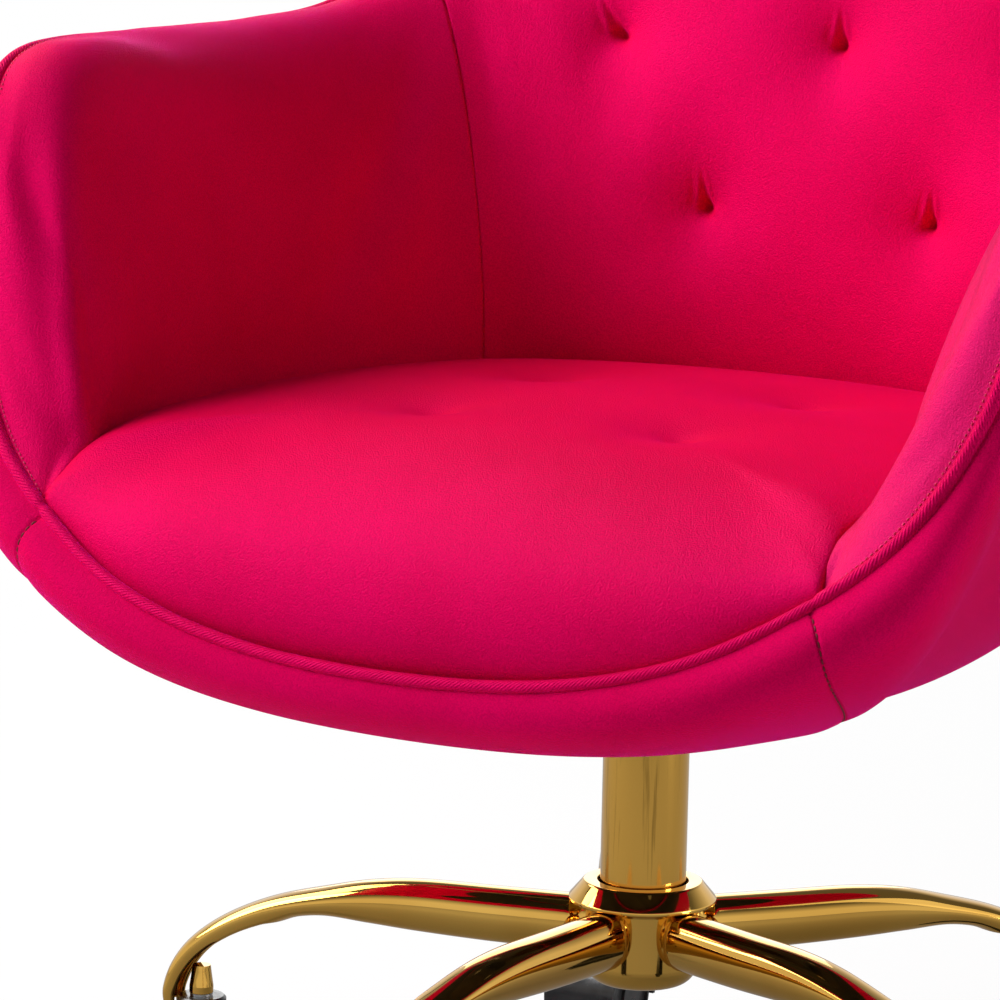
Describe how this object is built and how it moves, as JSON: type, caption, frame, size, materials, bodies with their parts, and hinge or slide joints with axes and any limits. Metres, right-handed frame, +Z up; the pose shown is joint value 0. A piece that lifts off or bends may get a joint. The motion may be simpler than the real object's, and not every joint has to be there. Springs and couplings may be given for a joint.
{
  "type": "swivel tub chair",
  "caption": "Tufted velvet tub chair with wrap-around arms and piped rim, on a polished swivel column with height lever and a star base on twin-wheel casters.",
  "frame": {"origin": "point on the floor under the column axis", "axes": "+Z up along the column, -Y the way the sitter faces, +X towards the sitter's left hand"},
  "size_m": [0.68, 0.6378, 0.8468],
  "materials": {
    "velvet": "short-pile velvet, hot pink",
    "piping": "velvet-covered piping cord, hot pink",
    "gold_casting": "mirror-polished gold plating on cast legs",
    "gold_tube": "mirror-polished gold plating on steel tube",
    "steel": "bright steel",
    "brass": "turned brass",
    "pan_paint": "black powder coat on pressed sheet",
    "plywood": "moulded plywood",
    "black_plastic": "black moulded plastic",
    "caster_plastic": "glossy black moulded nylon",
    "wheel_plastic": "black moulded nylon"
  },
  "bodies": {
    "base": {"base_hub": "gold_casting", "base_leg_1": "gold_casting", "base_leg_2": "gold_casting", "base_leg_3": "gold_casting", "base_leg_4": "gold_casting", "base_leg_5": "gold_casting", "stem_sockets": "gold_casting", "column_tube": "gold_tube", "guide_bush": "black_plastic", "bearing_washer": "steel", "bearing_balls": "steel"},
    "spindle": {"piston_rod": "steel", "rod_washer": "steel", "rod_clip": "steel"},
    "seat": {"gas_cylinder": "steel", "seat_pan": "pan_paint", "pan_bolts": "steel", "mounting_board": "plywood", "tub_frame": "plywood", "outer_cover": "velvet", "seat_pad": "velvet", "back_pad": "velvet", "arm_pad_right": "velvet", "arm_pad_left": "velvet", "rim_welt": "piping", "lever_pin": "steel"},
    "valve": {"valve_pin": "brass"},
    "lever": {"height_lever": "steel", "lever_grip": "black_plastic"},
    "caster_1": {"caster_housing_1": "caster_plastic", "caster_stem_1": "steel", "caster_axle_1": "steel"},
    "wheel_right_1": {"wheel_right_1": "wheel_plastic"},
    "wheel_left_1": {"wheel_left_1": "wheel_plastic"},
    "caster_2": {"caster_housing_2": "caster_plastic", "caster_stem_2": "steel", "caster_axle_2": "steel"},
    "wheel_right_2": {"wheel_right_2": "wheel_plastic"},
    "wheel_left_2": {"wheel_left_2": "wheel_plastic"},
    "caster_3": {"caster_housing_3": "caster_plastic", "caster_stem_3": "steel", "caster_axle_3": "steel"},
    "wheel_right_3": {"wheel_right_3": "wheel_plastic"},
    "wheel_left_3": {"wheel_left_3": "wheel_plastic"},
    "caster_4": {"caster_housing_4": "caster_plastic", "caster_stem_4": "steel", "caster_axle_4": "steel"},
    "wheel_right_4": {"wheel_right_4": "wheel_plastic"},
    "wheel_left_4": {"wheel_left_4": "wheel_plastic"},
    "caster_5": {"caster_housing_5": "caster_plastic", "caster_stem_5": "steel", "caster_axle_5": "steel"},
    "wheel_right_5": {"wheel_right_5": "wheel_plastic"},
    "wheel_left_5": {"wheel_left_5": "wheel_plastic"}
  },
  "joints": [
    {"name": "swivel", "type": "hinge", "parent": "base", "child": "spindle", "pos_m": [0, 0, 0.16], "axis": [0, 0, 1], "continuous": true},
    {"name": "lift", "type": "slide", "parent": "spindle", "child": "seat", "axis": [0, 0, 1], "range_m": [0, 0.09]},
    {"name": "lever_lift", "type": "hinge", "parent": "seat", "child": "lever", "pos_m": [-0.04, 0, 0.2835], "axis": [0, 1, 0], "range_deg": [0, 4], "stiffness_Nm_per_rad": 2},
    {"name": "valve_press", "type": "slide", "parent": "seat", "child": "valve", "axis": [0, 0, -1], "range_m": [0, 0.0028]},
    {"name": "caster_swivel_1", "type": "hinge", "parent": "base", "child": "caster_1", "pos_m": [0.176, 0.20607, 0.065], "axis": [0, 0, 1], "continuous": true},
    {"name": "wheel_right_spin_1", "type": "hinge", "parent": "caster_1", "child": "wheel_right_1", "pos_m": [0.176, 0.18607, 0.025], "axis": [1, 0, 0], "continuous": true},
    {"name": "wheel_left_spin_1", "type": "hinge", "parent": "caster_1", "child": "wheel_left_1", "pos_m": [0.176, 0.18607, 0.025], "axis": [1, 0, 0], "continuous": true},
    {"name": "caster_swivel_2", "type": "hinge", "parent": "base", "child": "caster_2", "pos_m": [-0.1416, 0.23106, 0.065], "axis": [0, 0, 1], "continuous": true},
    {"name": "wheel_right_spin_2", "type": "hinge", "parent": "caster_2", "child": "wheel_right_2", "pos_m": [-0.1416, 0.21107, 0.025], "axis": [1, 0, 0], "continuous": true},
    {"name": "wheel_left_spin_2", "type": "hinge", "parent": "caster_2", "child": "wheel_left_2", "pos_m": [-0.1416, 0.21107, 0.025], "axis": [1, 0, 0], "continuous": true},
    {"name": "caster_swivel_3", "type": "hinge", "parent": "base", "child": "caster_3", "pos_m": [-0.26351, -0.06326, 0.065], "axis": [0, 0, 1], "continuous": true},
    {"name": "wheel_right_spin_3", "type": "hinge", "parent": "caster_3", "child": "wheel_right_3", "pos_m": [-0.26351, -0.08326, 0.025], "axis": [1, 0, 0], "continuous": true},
    {"name": "wheel_left_spin_3", "type": "hinge", "parent": "caster_3", "child": "wheel_left_3", "pos_m": [-0.26351, -0.08326, 0.025], "axis": [1, 0, 0], "continuous": true},
    {"name": "caster_swivel_4", "type": "hinge", "parent": "base", "child": "caster_4", "pos_m": [-0.02126, -0.27016, 0.065], "axis": [0, 0, 1], "continuous": true},
    {"name": "wheel_right_spin_4", "type": "hinge", "parent": "caster_4", "child": "wheel_right_4", "pos_m": [-0.02126, -0.29017, 0.025], "axis": [1, 0, 0], "continuous": true},
    {"name": "wheel_left_spin_4", "type": "hinge", "parent": "caster_4", "child": "wheel_left_4", "pos_m": [-0.02126, -0.29017, 0.025], "axis": [1, 0, 0], "continuous": true},
    {"name": "caster_swivel_5", "type": "hinge", "parent": "base", "child": "caster_5", "pos_m": [0.25037, -0.10371, 0.065], "axis": [0, 0, 1], "continuous": true},
    {"name": "wheel_right_spin_5", "type": "hinge", "parent": "caster_5", "child": "wheel_right_5", "pos_m": [0.25037, -0.12371, 0.025], "axis": [1, 0, 0], "continuous": true},
    {"name": "wheel_left_spin_5", "type": "hinge", "parent": "caster_5", "child": "wheel_left_5", "pos_m": [0.25037, -0.12371, 0.025], "axis": [1, 0, 0], "continuous": true}
  ],
  "couplings": [
    {"joint": "valve_press", "follows": "lever_lift", "m_per_rad": 0.04}
  ]
}
